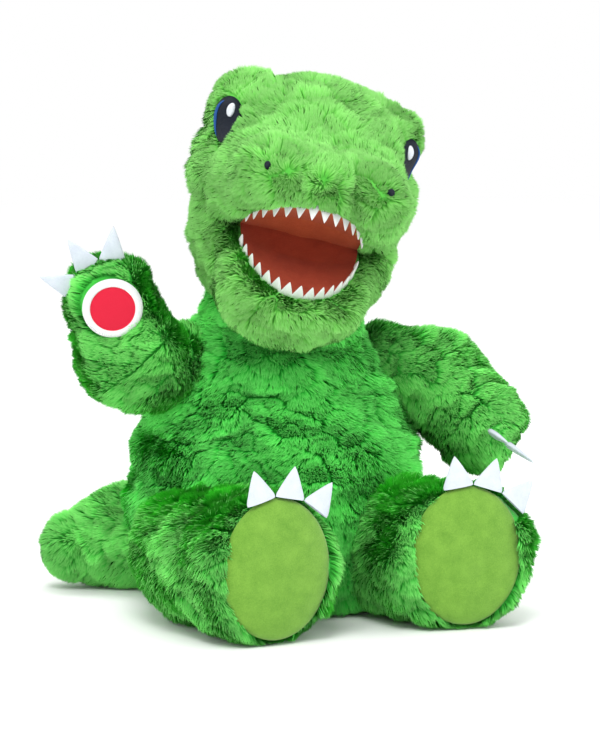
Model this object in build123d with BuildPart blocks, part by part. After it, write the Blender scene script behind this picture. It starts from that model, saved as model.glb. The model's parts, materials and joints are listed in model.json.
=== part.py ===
"""Seated stuffed dinosaur: fur skins over soft filling, sewn felt trim and bending seams."""

import os
from math import asin, cos, degrees, radians, sin, tan

from build123d import *

os.makedirs("parts", exist_ok=True)

# Frame: the toy faces -Y, its own left side is +X, +Z is up. The origin is the middle of the
# flat underside of the seat. Lengths are millimetres, angles are degrees.

# Cloth and felt
SKIN = 4.0  # backing cloth with the packed roots of the pile
ROOM = 0.8  # air between two bodies that turn against each other
FELT = 2.4  # felt claws and teeth
LINING = 1.6  # short pile cloth inside the mouth
LINING_START = 6.4  # from the fold to a lining, so that the linings clear a closed mouth
PATCH = 1.8  # embroidered eyes and the palm badge
THREAD = 0.7  # raised embroidery on a patch

# Torso: a ball with a flat seat, under shoulders that taper to the neck
TORSO_CENTRE = Vector(2.0, 6.0, 76.0)
TORSO_RADIUS = 100.0
SHOULDER_LEAN = 22.0
TORSO_TOP = 204.0
SEAM_WAY = Vector(0.5, 1.0, 0.0).normalized()  # the revolved seam, in the back clear of the limbs

# Neck: a ball that the head nods on, cut flat where it turns on the torso
NECK_RADIUS = 58.0
NECK_PIVOT = Vector(4.0, -4.0, 212.0)

# Head, in its own turned and tilted frame
HEAD_CENTRE = Vector(7.4, -22.0, 288.0)
HEAD_TURN = -14.0
HEAD_TILT = 13.5
SKULL_CENTRE = Vector(0.0, 5.0, 26.0)
SKULL_RADIUS = 76.5
MUZZLE_CENTRE = Vector(0.0, -50.0, 16.0)
MUZZLE_RADIUS = 64.0
MUZZLE_HALF_HEIGHT = 35.0
CHIN_CENTRE = Vector(0.0, -57.0, -48.0)
CHIN_RADIUS = 53.0
CHIN_HALF_HEIGHT = 40.0
BUMP_CENTRE = Vector(54.0, 4.0, 68.0)
BUMP_RADIUS = 25.5

# Mouth: the palate and tongue planes meet at a fold, which is the jaw's hinge line
FOLD_FORWARD = 36.0
FOLD_HEIGHT = -12.0
PALATE_PITCH = 20.0
TONGUE_PITCH = -34.0
THROAT_PITCH = -90.0
JAW_OPENS = 8.0
JAW_SPARE = 1.0  # turn left between the throat and the fully open jaw
FAR = 220.0  # reach of the cutting wedges, past every surface of the head

# Teeth: felt points along a U shaped lip line
LIP_HALF_WIDTH = 44.0
LIP_LENGTH = 72.0
TOOTH_WIDTH = 8.0
TOOTH_HEIGHT = 9.5
CORNER_TOOTH_HEIGHT = 4.0
UPPER_TEETH = 14
LOWER_TEETH = 15
TEETH_START = 24.0  # angle along the lip line from the mouth corner to the first tooth
TAPE_START = 16.0

# Eyes: dark oval, outer crescent and pale glint; nostrils
EYE_TURN = 36.0
EYE_DROP = 20.0
EYE_HALF_WIDTH = 13.0
EYE_HALF_HEIGHT = 17.0
IRIS_INSET = 1.6
IRIS_WIDTH = 4.0
GLINT_SIDE = 3.5
GLINT_RISE = 7.0
GLINT_HALF_WIDTH = 4.0
GLINT_HALF_HEIGHT = 5.6
NOSTRIL_SIDE = 39.5
NOSTRIL_RISE = 30.0
NOSTRIL_HALF_WIDTH = 3.0
NOSTRIL_HALF_HEIGHT = 3.8

# Arms: shoulder, elbow and paw centres
ARM_RADII = (28.5, 32.5, 31.5)
LEFT_ARM = ((80.0, -2.0, 177.0), (124.0, -14.0, 164.0), (141.0, -44.0, 128.0))
RIGHT_ARM = ((-75.0, 0.0, 177.0), (-117.0, -10.0, 183.0), (-130.0, -14.0, 236.0))
LEFT_ARM_SWING = (-30.0, 4.0)
RIGHT_ARM_SWING = (-14.0, 14.0)
PALM_NORMAL = Vector(-0.26, -0.947, -0.187).normalized()
PALM_DEPTH = 23.0
BADGE_RADIUS = 21.5
MOTIF_RADIUS = 16.0

# Legs: hip and foot centres
LEG_RADII = (46.5, 48.0)
RIGHT_LEG = ((-77.0, -50.0, 50.0), (-61.0, -150.0, 50.0))
LEFT_LEG = ((66.0, -52.0, 50.0), (85.0, -146.0, 50.0))
RIGHT_SOLE_TURN = 8.0
LEFT_SOLE_TURN = -3.0
LEG_LIFTS = 30.0
SOLE_HALF_WIDTH = 41.0
SOLE_HALF_HEIGHT = 47.5
SOLE_THICK = 6.0
SOLE_ROUND = 3.0
SOLE_OVERRUN = 0.3  # share of its length that a thigh runs past the sole before it is cut flat

# Claws: zigzags of felt, measured from the middle of a paw or a sole
CLAW_COUNT = 3
FOOT_CLAWS = {"step": 24.0, "inner": 40.0, "valley": 52.0, "tip": 71.0}
PAW_CLAWS = {"step": 37.0, "inner": 29.3, "valley": 31.2, "tip": 49.0}
RIGHT_FOOT_TWIST = 11.0
LEFT_FOOT_TWIST = 18.0
RIGHT_PAW_TWIST = -35.0
LEFT_CLAW_POINT = Vector(0.49, -0.73, -0.46).normalized()
LEFT_CLAW_NORMAL = Vector(0.558, -0.136, 0.813).normalized()

# Tail: rests on the floor and curls to the toy's right
TAIL = ((-14.0, 62.0, 45.0), (-78.0, 116.0, 37.0), (-124.0, 122.0, 26.5))
TAIL_RADII = (44.0, 35.5, 25.5)
TAIL_SWING = 12.0

BALL_SHARE = 0.96  # a taper starts at this share of the ball it grows out of
NEST = 0.1  # each swung copy's ball is this much smaller, so that no two surfaces coincide
TRAVEL_STEPS = 2

# Planes worked out from the dimensions above
UP = Vector(0, 0, 1)
HEAD_X = Vector(1, 0, 0).rotate(Axis.Y, HEAD_TILT).rotate(Axis.Z, HEAD_TURN)
HEAD_Z = UP.rotate(Axis.Y, HEAD_TILT).rotate(Axis.Z, HEAD_TURN)
HEAD = Plane(origin=HEAD_CENTRE, x_dir=HEAD_X, z_dir=HEAD_Z)
SIDE_VIEW = Plane(origin=(0, 0, 0), x_dir=(0, -1, 0), z_dir=(-1, 0, 0))  # x forward, y up
FOLD = Vector(0, -FOLD_FORWARD, FOLD_HEIGHT)
NECK_IN_HEAD = HEAD.to_local_coords(NECK_PIVOT)
TORSO_PROFILE = Plane(origin=TORSO_CENTRE, x_dir=SEAM_WAY, z_dir=SEAM_WAY.cross(UP))
PALATE = Plane(
    origin=FOLD,
    x_dir=(1, 0, 0),
    z_dir=(0, -sin(radians(PALATE_PITCH)), -cos(radians(PALATE_PITCH))),
)
TONGUE = Plane(
    origin=FOLD,
    x_dir=(-1, 0, 0),
    z_dir=(0, sin(radians(TONGUE_PITCH)), cos(radians(TONGUE_PITCH))),
)


def save(piece, name):
    """Label a finished piece and write it as its own node."""
    piece.label = name
    export_step(piece, f"parts/{name}.step")


def save_in_head(piece, name):
    """Write a piece that was modelled in the head's own frame."""
    save(piece.moved(HEAD.location), name)


def save_pair(piece, name):
    """Write a piece of the head's right side, and its mirror image on the left."""
    save_in_head(piece, name.format("right"))
    save_in_head(piece.mirror(Plane.YZ), name.format("left"))


def ball(centre, radius, mode=Mode.ADD):
    """Ball about a centre."""
    with Locations(centre):
        Sphere(radius, mode=mode)


def pebble(centre, radius, half_height):
    """Upright disc with a fully rounded rim."""
    with BuildSketch(Plane(origin=centre, x_dir=(1, 0, 0), z_dir=(0, -1, 0))) as half:
        with Locations((radius - half_height, 0)):
            Circle(half_height)
        Rectangle(radius - half_height, 2 * half_height, align=(Align.MIN, Align.CENTER))
        split(bisect_by=Plane.YZ)
    revolve(half.sketch, axis=Axis(centre, UP))


def taper(start, end, first, last, flat=False):
    """Ball of radius first joined smoothly to a ball of radius last, or to a flat end."""
    run = Vector(end) - Vector(start)
    length = run.length
    lean = 0.0 if flat else degrees(asin((first - last) / length))
    side = UP if abs(run.normalized().Z) < 0.9 else Vector(1, 0, 0)
    profile_plane = Plane(origin=start, x_dir=run, z_dir=run.cross(side))
    with BuildSketch(profile_plane) as profile:
        with BuildLine():
            start_arc = CenterArc((0, 0), first, 180, -90 - lean)
            if flat:
                Polyline(start_arc @ 1, (length, last), (length, 0), start_arc @ 0)
            else:
                end_arc = CenterArc((length, 0), last, 90 - lean, lean - 90)
                Line(start_arc @ 1, end_arc @ 0)
                Line(end_arc @ 1, start_arc @ 0)
        make_face()
    return Solid.revolve(profile.sketch.face(), 360, Axis(start, run))


def limb(points, radii, grow=0.0):
    """Chain of tapers. Each later one starts a little inside the ball before it."""
    first = radii[0] + grow
    for start, end, last in zip(points, points[1:], radii[1:]):
        add(taper(start, end, first, last + grow))
        first = (last + grow) * BALL_SHARE


def turned(points, pivot, axis, angle):
    """Points turned about an axis through pivot."""
    hub = Vector(pivot)
    return [hub + (Vector(point) - hub).rotate(Axis((0, 0, 0), axis), angle) for point in points]


def travel(low, high):
    """Evenly spaced angles over a joint's travel."""
    return [low + (high - low) * step / TRAVEL_STEPS for step in range(TRAVEL_STEPS + 1)]


def foot_facing(turn):
    """Direction that a sole looks in, turned from straight ahead."""
    return Vector(0, -1, 0).rotate(Axis.Z, turn)


def leg(points, turn, grow=0.0):
    """Round hip end, and a thigh that widens to the flat end of the foot."""
    hip, sole = Vector(points[0]), Vector(points[1])
    past_sole = sole + (sole - hip) * SOLE_OVERRUN
    add(taper(hip, past_sole, LEG_RADII[0] + grow, LEG_RADII[1] + grow, flat=True))
    foot_end = Plane(origin=sole + foot_facing(turn) * grow, z_dir=foot_facing(turn))
    split(bisect_by=foot_end, keep=Keep.BOTTOM)


def torso_body(shrink=0.0):
    """Ball with a flat seat, that tapers smoothly to the neck."""
    radius = TORSO_RADIUS - shrink
    seat = TORSO_CENTRE.Z - shrink
    top = TORSO_TOP - TORSO_CENTRE.Z - shrink
    below = degrees(asin(seat / radius))
    with BuildSketch(TORSO_PROFILE) as profile:
        with BuildLine():
            belly = CenterArc((0, 0), radius, -below, below + SHOULDER_LEAN)
            rise = top - radius * sin(radians(SHOULDER_LEAN))
            shoulder = belly @ 1 + Vector(-rise * tan(radians(SHOULDER_LEAN)), rise)
            Polyline(belly @ 1, shoulder, (0, top), (0, -seat), belly @ 0)
        make_face()
    revolve(profile.sketch, axis=Axis(TORSO_CENTRE, UP))


def cut_socket(start, end, first, last, axis, angles, flat=False):
    """Room in the torso for a limb's first stretch at each angle of its travel."""
    for copy, angle in enumerate(angles):
        (far_end,) = turned([end], start, axis, angle)
        room = taper(start, far_end, first + ROOM - copy * NEST, last + ROOM, flat)
        add(room, mode=Mode.SUBTRACT)


def cut_sockets():
    """Room in the torso for the arms, the legs and the tail."""
    for points, swing in ((LEFT_ARM, LEFT_ARM_SWING), (RIGHT_ARM, RIGHT_ARM_SWING)):
        cut_socket(*points[:2], *ARM_RADII[:2], (0, 1, 0), travel(*swing))
    for points in (RIGHT_LEG, LEFT_LEG):
        cut_socket(*points, *LEG_RADII, (1, 0, 0), travel(0.0, -LEG_LIFTS), flat=True)
    root, bend = Vector(TAIL[0]), Vector(TAIL[1])
    spread = (bend - root).length * sin(radians(TAIL_SWING))
    tail_room = taper(root, bend, TAIL_RADII[0] + ROOM, TAIL_RADII[1] + ROOM + spread, flat=True)
    add(tail_room, mode=Mode.SUBTRACT)


def wedge_corner(pitch, reach):
    """Point at a pitch and distance from the fold, in the side view."""
    forward = FOLD_FORWARD + reach * cos(radians(pitch))
    return (forward, FOLD_HEIGHT + reach * sin(radians(pitch)))


def wedge(low_pitch, high_pitch, grow, mode):
    """Wedge with its edge on the mouth fold, across the whole head."""
    with BuildSketch(SIDE_VIEW) as profile:
        with BuildLine():
            Polyline(
                (FOLD_FORWARD, FOLD_HEIGHT),
                wedge_corner(low_pitch, FAR),
                wedge_corner((low_pitch + high_pitch) / 2, 2 * FAR),
                wedge_corner(high_pitch, FAR),
                close=True,
            )
        make_face()
        if grow:
            offset(amount=grow, kind=Kind.INTERSECTION)
    extrude(profile.sketch, amount=FAR, both=True, mode=mode)


def head_form(shrink=0.0):
    """Skull and muzzle before the mouth is cut."""
    ball(SKULL_CENTRE, SKULL_RADIUS - shrink)
    pebble(MUZZLE_CENTRE, MUZZLE_RADIUS - shrink, MUZZLE_HALF_HEIGHT - shrink)


def head_body(shrink=0.0):
    """Skull and muzzle with the mouth wedge and the neck hollow cut away."""
    head_form(shrink)
    wedge(THROAT_PITCH - JAW_OPENS - JAW_SPARE, PALATE_PITCH, shrink, Mode.SUBTRACT)
    ball(NECK_IN_HEAD, NECK_RADIUS + ROOM + shrink, Mode.SUBTRACT)


def jaw_body(shrink=0.0):
    """Chin and lower cheeks under the tongue plane, clear of the neck as the jaw drops."""
    ball(SKULL_CENTRE, SKULL_RADIUS - shrink)
    pebble(CHIN_CENTRE, CHIN_RADIUS - shrink, CHIN_HALF_HEIGHT - shrink)
    wedge(THROAT_PITCH, TONGUE_PITCH, -(ROOM + shrink), Mode.INTERSECT)
    for angle in travel(0.0, JAW_OPENS):
        (hollow,) = turned([NECK_IN_HEAD], FOLD, (1, 0, 0), -angle)
        ball(hollow, NECK_RADIUS + ROOM + shrink, Mode.SUBTRACT)


def tooth_row(plane, count):
    """Felt tape along the lip line with a point standing at each step."""
    with BuildSketch(plane) as tape:
        Ellipse(LIP_HALF_WIDTH + FELT / 2, LIP_LENGTH + FELT / 2)
        Ellipse(LIP_HALF_WIDTH - FELT / 2, LIP_LENGTH - FELT / 2, mode=Mode.SUBTRACT)
        with Locations((0, LIP_LENGTH * sin(radians(TAPE_START)))):
            Rectangle(FAR, FAR, align=(Align.CENTER, Align.MIN), mode=Mode.INTERSECT)
    extrude(tape.sketch, amount=FELT)
    for step in range(count):
        angle = radians(TEETH_START + (180.0 - 2 * TEETH_START) * step / (count - 1))
        height = CORNER_TOOTH_HEIGHT + (TOOTH_HEIGHT - CORNER_TOOTH_HEIGHT) * sin(angle)
        foot = Vector(LIP_HALF_WIDTH * cos(angle), LIP_LENGTH * sin(angle), FELT / 2)
        outward = Vector(cos(angle) / LIP_HALF_WIDTH, sin(angle) / LIP_LENGTH).normalized()
        standing = Plane(origin=foot, x_dir=(-outward.Y, outward.X, 0), z_dir=outward)
        with BuildSketch(Plane(plane.location * standing.location)) as tooth:
            with BuildLine():
                Polyline((-TOOTH_WIDTH / 2, 0), (TOOTH_WIDTH / 2, 0), (0, height), close=True)
            make_face()
        extrude(tooth.sketch, amount=FELT / 2, both=True)


def mouth_lining(plane):
    """Cloth panel on a mouth plane, inside the teeth."""
    with BuildSketch(plane) as panel:
        Ellipse(LIP_HALF_WIDTH - FELT, LIP_LENGTH - FELT)
        with Locations((0, LINING_START)):
            Rectangle(FAR, FAR, align=(Align.CENTER, Align.MIN), mode=Mode.INTERSECT)
    extrude(panel.sketch, amount=LINING)


def embroidery(shape, centre, base, thick):
    """Sketch pushed outward and kept as a thin layer on a ball."""
    extrude(shape, amount=2 * base)
    ball(centre, base + thick, Mode.INTERSECT)
    ball(centre, base, Mode.SUBTRACT)


def claw_zigzag(plane, middle, step, inner, valley, tip):
    """Felt points standing outward round the origin of plane, leaning from its y axis."""
    first = middle - CLAW_COUNT * step / 2
    halves = range(2 * CLAW_COUNT + 1)
    rim = [(tip if half % 2 else valley, first + half * step / 2) for half in halves]
    hem = [(inner, first + whole * step) for whole in range(CLAW_COUNT, -1, -1)]
    corners = [(reach * sin(radians(lean)), reach * cos(radians(lean))) for reach, lean in rim + hem]
    with BuildSketch(plane) as outline:
        with BuildLine():
            Polyline(*corners, close=True)
        make_face()
    extrude(outline.sketch, amount=FELT / 2, both=True)


# Torso
with BuildPart() as torso_core:
    torso_body(SKIN)

with BuildPart() as torso_skin:
    torso_body()
    add(torso_core.part, mode=Mode.SUBTRACT)
    cut_sockets()
save(torso_skin.part, "torso_skin")

with BuildPart() as torso_stuffing:
    add(torso_core.part)
    cut_sockets()
save(torso_stuffing.part, "torso_stuffing")

# Neck
with BuildPart() as neck_stuffing:
    ball(NECK_PIVOT, NECK_RADIUS - SKIN)
    split(bisect_by=Plane.XY.offset(TORSO_TOP + ROOM + SKIN))
save(neck_stuffing.part, "neck_stuffing")

with BuildPart() as neck_skin:
    ball(NECK_PIVOT, NECK_RADIUS)
    split(bisect_by=Plane.XY.offset(TORSO_TOP + ROOM))
    add(neck_stuffing.part, mode=Mode.SUBTRACT)
save(neck_skin.part, "neck_skin")

# Head
with BuildPart() as head_stuffing:
    head_body(SKIN)
save_in_head(head_stuffing.part, "head_stuffing")

with BuildPart() as head_skin:
    head_body()
    add(head_stuffing.part, mode=Mode.SUBTRACT)
save_in_head(head_skin.part, "head_skin")

# Lower jaw
with BuildPart() as jaw_stuffing:
    jaw_body(SKIN)
save_in_head(jaw_stuffing.part, "jaw_stuffing")

with BuildPart() as jaw_skin:
    jaw_body()
    add(jaw_stuffing.part, mode=Mode.SUBTRACT)
save_in_head(jaw_skin.part, "jaw_skin")

# Mouth linings and teeth; the lower ones stand off the tongue plane by the same room
LOWER_MOUTH = TONGUE.offset(-ROOM)
for name, plane, count in (("upper", PALATE, UPPER_TEETH), ("lower", LOWER_MOUTH, LOWER_TEETH)):
    with BuildPart() as teeth:
        tooth_row(plane, count)
    save_in_head(teeth.part, f"{name}_teeth")

for name, plane in (("palate_lining", PALATE), ("tongue_lining", LOWER_MOUTH)):
    with BuildPart() as lining:
        mouth_lining(plane)
    save_in_head(lining.part, name)

# Eye bumps with their eyes, and nostrils
with BuildPart() as whole_head:
    head_form()

with BuildPart() as nostril_layer:
    pebble(MUZZLE_CENTRE, MUZZLE_RADIUS + THREAD, MUZZLE_HALF_HEIGHT + THREAD)
    add(whole_head.part, mode=Mode.SUBTRACT)

crown = Vector(-BUMP_CENTRE.X, BUMP_CENTRE.Y, BUMP_CENTRE.Z)
look = Vector(0, -1, 0).rotate(Axis.X, EYE_DROP).rotate(Axis.Z, -EYE_TURN)
eye_plane = Plane(origin=crown, x_dir=UP.cross(look), z_dir=look)

with BuildPart() as bump_stuffing:
    ball(crown, BUMP_RADIUS - SKIN)
    add(whole_head.part, mode=Mode.SUBTRACT)
save_pair(bump_stuffing.part, "eye_bump_{}_stuffing")

with BuildPart() as bump_skin:
    ball(crown, BUMP_RADIUS)
    ball(crown, BUMP_RADIUS - SKIN, Mode.SUBTRACT)
    add(whole_head.part, mode=Mode.SUBTRACT)
save_pair(bump_skin.part, "eye_bump_{}_skin")

with BuildPart() as eye:
    with BuildSketch(eye_plane) as oval:
        Ellipse(EYE_HALF_WIDTH, EYE_HALF_HEIGHT)
    embroidery(oval.sketch, crown, BUMP_RADIUS, PATCH)
    add(whole_head.part, mode=Mode.SUBTRACT)
save_pair(eye.part, "eye_{}")

with BuildPart() as iris:
    with BuildSketch(eye_plane) as crescent:
        Ellipse(EYE_HALF_WIDTH - IRIS_INSET, EYE_HALF_HEIGHT - IRIS_INSET)
        with Locations((IRIS_WIDTH, 0)):
            Ellipse(EYE_HALF_WIDTH - IRIS_INSET, EYE_HALF_HEIGHT, mode=Mode.SUBTRACT)
    embroidery(crescent.sketch, crown, BUMP_RADIUS + PATCH, THREAD)
    add(whole_head.part, mode=Mode.SUBTRACT)
save_pair(iris.part, "eye_{}_iris")

with BuildPart() as glint:
    with BuildSketch(eye_plane) as spot:
        with Locations((GLINT_SIDE, GLINT_RISE)):
            Ellipse(GLINT_HALF_WIDTH, GLINT_HALF_HEIGHT)
    embroidery(spot.sketch, crown, BUMP_RADIUS + PATCH, THREAD)
    add(iris.part, mode=Mode.SUBTRACT)
save_pair(glint.part, "eye_{}_glint")

with BuildPart() as nostril:
    with BuildSketch(Plane.XZ.offset(-MUZZLE_CENTRE.Y)) as opening:
        with Locations((-NOSTRIL_SIDE, NOSTRIL_RISE)):
            Ellipse(NOSTRIL_HALF_WIDTH, NOSTRIL_HALF_HEIGHT)
    extrude(opening.sketch, amount=2 * MUZZLE_RADIUS)
    add(nostril_layer.part, mode=Mode.INTERSECT)
save_pair(nostril.part, "nostril_{}")

# Right arm, with a flat palm and its badge
right_paw = Vector(RIGHT_ARM[2])
palm = Plane(origin=right_paw, x_dir=UP.cross(PALM_NORMAL), z_dir=PALM_NORMAL)

with BuildPart() as arm_right_stuffing:
    limb(RIGHT_ARM, ARM_RADII, grow=-SKIN)
    split(bisect_by=palm.offset(PALM_DEPTH - SKIN), keep=Keep.BOTTOM)
save(arm_right_stuffing.part, "arm_right_stuffing")

with BuildPart() as arm_right_claws:
    claw_zigzag(palm, RIGHT_PAW_TWIST, **PAW_CLAWS)
save(arm_right_claws.part, "arm_right_claws")

with BuildPart() as arm_right_skin:
    limb(RIGHT_ARM, ARM_RADII)
    split(bisect_by=palm.offset(PALM_DEPTH), keep=Keep.BOTTOM)
    add(arm_right_stuffing.part, mode=Mode.SUBTRACT)
    add(arm_right_claws.part, mode=Mode.SUBTRACT)
save(arm_right_skin.part, "arm_right_skin")

with BuildPart() as palm_badge:
    with BuildSketch(palm.offset(PALM_DEPTH)):
        Circle(BADGE_RADIUS)
    extrude(amount=PATCH)
save(palm_badge.part, "palm_badge")

with BuildPart() as palm_badge_motif:
    with BuildSketch(palm.offset(PALM_DEPTH + PATCH)):
        Circle(MOTIF_RADIUS)
    extrude(amount=THREAD)
save(palm_badge_motif.part, "palm_badge_motif")

# Left arm
left_claw_plane = Plane(
    origin=LEFT_ARM[2],
    x_dir=LEFT_CLAW_POINT.cross(LEFT_CLAW_NORMAL),
    z_dir=LEFT_CLAW_NORMAL,
)

with BuildPart() as arm_left_stuffing:
    limb(LEFT_ARM, ARM_RADII, grow=-SKIN)
save(arm_left_stuffing.part, "arm_left_stuffing")

with BuildPart() as arm_left_claws:
    claw_zigzag(left_claw_plane, 0.0, **PAW_CLAWS)
save(arm_left_claws.part, "arm_left_claws")

with BuildPart() as arm_left_skin:
    limb(LEFT_ARM, ARM_RADII)
    add(arm_left_stuffing.part, mode=Mode.SUBTRACT)
    add(arm_left_claws.part, mode=Mode.SUBTRACT)
save(arm_left_skin.part, "arm_left_skin")

# Legs, each with its sole and claws on the flat end of the foot
for side, points, turn, twist in (
    ("left", LEFT_LEG, LEFT_SOLE_TURN, LEFT_FOOT_TWIST),
    ("right", RIGHT_LEG, RIGHT_SOLE_TURN, RIGHT_FOOT_TWIST),
):
    facing = foot_facing(turn)
    foot_end = Plane(origin=points[1], x_dir=UP.cross(facing), z_dir=facing)

    with BuildPart() as leg_stuffing:
        leg(points, turn, grow=-SKIN)
    save(leg_stuffing.part, f"leg_{side}_stuffing")

    with BuildPart() as leg_skin:
        leg(points, turn)
        add(leg_stuffing.part, mode=Mode.SUBTRACT)
    save(leg_skin.part, f"leg_{side}_skin")

    with BuildPart() as foot_claws:
        claw_zigzag(foot_end.offset(FELT / 2), twist, **FOOT_CLAWS)
    save(foot_claws.part, f"foot_{side}_claws")

    with BuildPart() as sole:
        with BuildSketch(foot_end):
            Ellipse(SOLE_HALF_WIDTH, SOLE_HALF_HEIGHT)
        extrude(amount=SOLE_THICK)
        fillet(sole.edges().group_by(Axis((0, 0, 0), facing))[-1], SOLE_ROUND)
        add(foot_claws.part, mode=Mode.SUBTRACT)
    save(sole.part, f"sole_{side}")

# Tail
with BuildPart() as tail_stuffing:
    limb(TAIL, TAIL_RADII, grow=-SKIN)
save(tail_stuffing.part, "tail_stuffing")

with BuildPart() as tail_skin:
    limb(TAIL, TAIL_RADII)
    add(tail_stuffing.part, mode=Mode.SUBTRACT)
save(tail_skin.part, "tail_skin")
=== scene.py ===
"""Looks of the seated stuffed dinosaur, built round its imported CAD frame. Lengths are metres."""

import json
from math import cos, pi, radians, sin

import bpy
import numpy as np
import openvdb
from mathutils import Matrix, Vector


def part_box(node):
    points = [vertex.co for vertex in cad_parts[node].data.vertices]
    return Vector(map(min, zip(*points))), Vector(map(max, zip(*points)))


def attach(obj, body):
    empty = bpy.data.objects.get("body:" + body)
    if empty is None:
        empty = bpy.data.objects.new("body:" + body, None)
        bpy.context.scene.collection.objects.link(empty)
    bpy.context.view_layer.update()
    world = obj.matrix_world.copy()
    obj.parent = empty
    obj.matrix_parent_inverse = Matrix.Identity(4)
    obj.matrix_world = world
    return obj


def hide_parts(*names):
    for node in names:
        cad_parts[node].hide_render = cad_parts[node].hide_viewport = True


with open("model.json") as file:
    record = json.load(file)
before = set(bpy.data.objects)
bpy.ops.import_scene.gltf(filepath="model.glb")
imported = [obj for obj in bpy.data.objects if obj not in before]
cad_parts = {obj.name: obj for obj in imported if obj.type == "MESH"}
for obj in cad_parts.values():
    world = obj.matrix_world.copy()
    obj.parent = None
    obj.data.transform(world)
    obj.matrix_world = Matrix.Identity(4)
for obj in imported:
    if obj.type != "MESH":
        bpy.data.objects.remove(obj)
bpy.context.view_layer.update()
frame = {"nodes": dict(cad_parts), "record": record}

UV_NAME = "OFBake"

# Forms, in millimetres until mm() turns them into metres
SKIN_IN = 3.0  # how far the backing cloth lies inside the CAD surface
TORSO_CENTRE = (2.0, 6.0, 76.0)
TORSO_RADIUS = 97.0
TORSO_SECTIONS = {
    "height": (0, 12, 40, 80, 120, 155, 185, 215),
    "half_width": (62, 80, 97, 101, 98, 88, 74, 60),
    "half_depth": (56, 74, 90, 94, 90, 76, 66, 58),
}
NECK_RADIUS = 58.0
HEAD_CENTRE = (7.4, -22.0, 288.0)
HEAD_TURN = -14.0
HEAD_TILT = 13.5
SKULL = {"centre": (0, 5, 25), "radii": (77, 74, 74)}
MUZZLE = {"centre": (0, -50, 16), "radius": 61.5, "half_height": 32.5}
CHIN = {"centre": (0, -57, -47), "radius": 51, "half_height": 37}
CHEEK = {"centre": (37, -12, -28), "radii": (29, 36, 34)}
JAW_BALL = {"centre": (0, 5, 26), "radii": (74, 74, 74)}
SNOUT_PAD = (38, -88, 24)
SNOUT_PAD_RADIUS = 22
BUMP_CENTRE = (54, 4, 68)
BUMP_RADIUS = 24.0
FOLD = (0, -36, -12)
PALATE_PITCH = 20.0
TONGUE_PITCH = -34.0
LIP_HALF_WIDTH = 44.0
LIP_LENGTH = 72.0
EYE_TURN = 32.0
EYE_DROP = 22.0
EYE_HALF_WIDTH = 13.0
EYE_HALF_HEIGHT = 15.0
EYE_BORDER = 1.4  # dark edge round the blue crescent
NOSTRIL_SIDE = 39.7
NOSTRIL_RISE = 30.0
ARMS = {
    "left": ((80, -2, 177), (124, -14, 164), (144, -44, 133)),
    "right": ((-75, 0, 180), (-114, -10, 188), (-132, -14, 232)),
}
ARM_RADII = {"left": (28.5, 33, 34.5), "right": (29, 33, 32)}
PALM_NORMAL = (-0.26, -0.947, -0.187)
PALM_DEPTH = 23.0
BADGE_RADIUS = 21.5
MOTIF_RADIUS = 16.0
LEG_RADII = (47.0, 49.5)
LEGS = {
    "left": {"line": ((66, -52, 50), (87, -146, 53)), "turn": -3.0},
    "right": {"line": ((-77, -50, 50), (-59, -150, 53)), "turn": 8.0},
}
SOLE_HALF_WIDTH = 42.0
SOLE_HALF_HEIGHT = 49.5
TAIL_LINE = ((-14, 62, 45), (-76, 116, 37), (-117, 121, 33))
TAIL_RADII = (44.0, 34.5, 24.5)

# Lengths that are metres from the start
VOXEL = 0.0024
PALATE_DEPTH = 0.008
TONGUE_DEPTH = 0.006
MOUTH_OF = {"head": (PALATE_PITCH, PALATE_DEPTH), "jaw": (TONGUE_PITCH, -TONGUE_DEPTH)}
GLINT_ASIDE = 0.0035
GLINT_RISE = 0.0075

# Claws
CLAW_STEP = {"foot": 26.0, "paw": 37.0}
FOOT_TWIST = {"left": 18.0, "right": 11.0}
PAW_TWIST = {"left": 0.0, "right": -35.0}
LEFT_CLAW_POINT = (0.49, -0.73, -0.46)
LEFT_CLAW_NORMAL = (0.558, -0.136, 0.813)

# Soft lumps of the filling
LUMP_SIZE = np.array((0.030, 0.030, 0.017))
LUMP_DEPTH = 0.006

# Fur
FUR_DENSITY = 2.1e6  # blades on a square metre
FUR_LENGTH = 0.0105
FUR_WIDTH = 0.0010
TUFT_WARP = 0.011  # how far tufts are pushed out of their even grid
TUFT_SIZE = np.array((0.0150, 0.0150, 0.0090))
SWIRL_SIZE = 0.030
HIDDEN_DEPTH = 0.020
MOST_BLADES = 66000  # in one piece
SHADES = 32
BLADE_FACES = np.array(((0, 1, 3), (0, 3, 2), (2, 3, 4)))
BLADE_RISE = np.array((0.0, 0.0, 0.5, 0.5, 1.0))
BLADE_SIDE = np.array((0.15, 0.85, 0.2, 0.8, 0.5))


# Small vector tools -----------------------------------------------------------------------


def mm(value):
    """Millimetres as metres."""
    return np.array(value, float) / 1000.0


def length_of(vectors):
    return np.sqrt((vectors**2).sum(-1))


def unit(vectors):
    return vectors / np.maximum(length_of(vectors), 1e-9)[..., None]


def dot(a, b):
    return (a * b).sum(-1)


def spin(axis, angle):
    """3 by 3 turn about an axis, angle in degrees."""
    return np.array(Matrix.Rotation(radians(angle), 3, axis))


HEAD_AXES = spin("Z", HEAD_TURN) @ spin("Y", HEAD_TILT)


def to_head(points):
    """Row frame to the head's own frame, metres."""
    return (points - mm(HEAD_CENTRE)) @ HEAD_AXES


def from_head(points):
    return points @ HEAD_AXES.T + mm(HEAD_CENTRE)


def pitched(pitch):
    """Forward direction in the head at a pitch, and the normal above it."""
    turn = radians(pitch)
    return np.array((0, -cos(turn), sin(turn))), np.array((0, sin(turn), cos(turn)))


# Repeatable noise -------------------------------------------------------------------------


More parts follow.
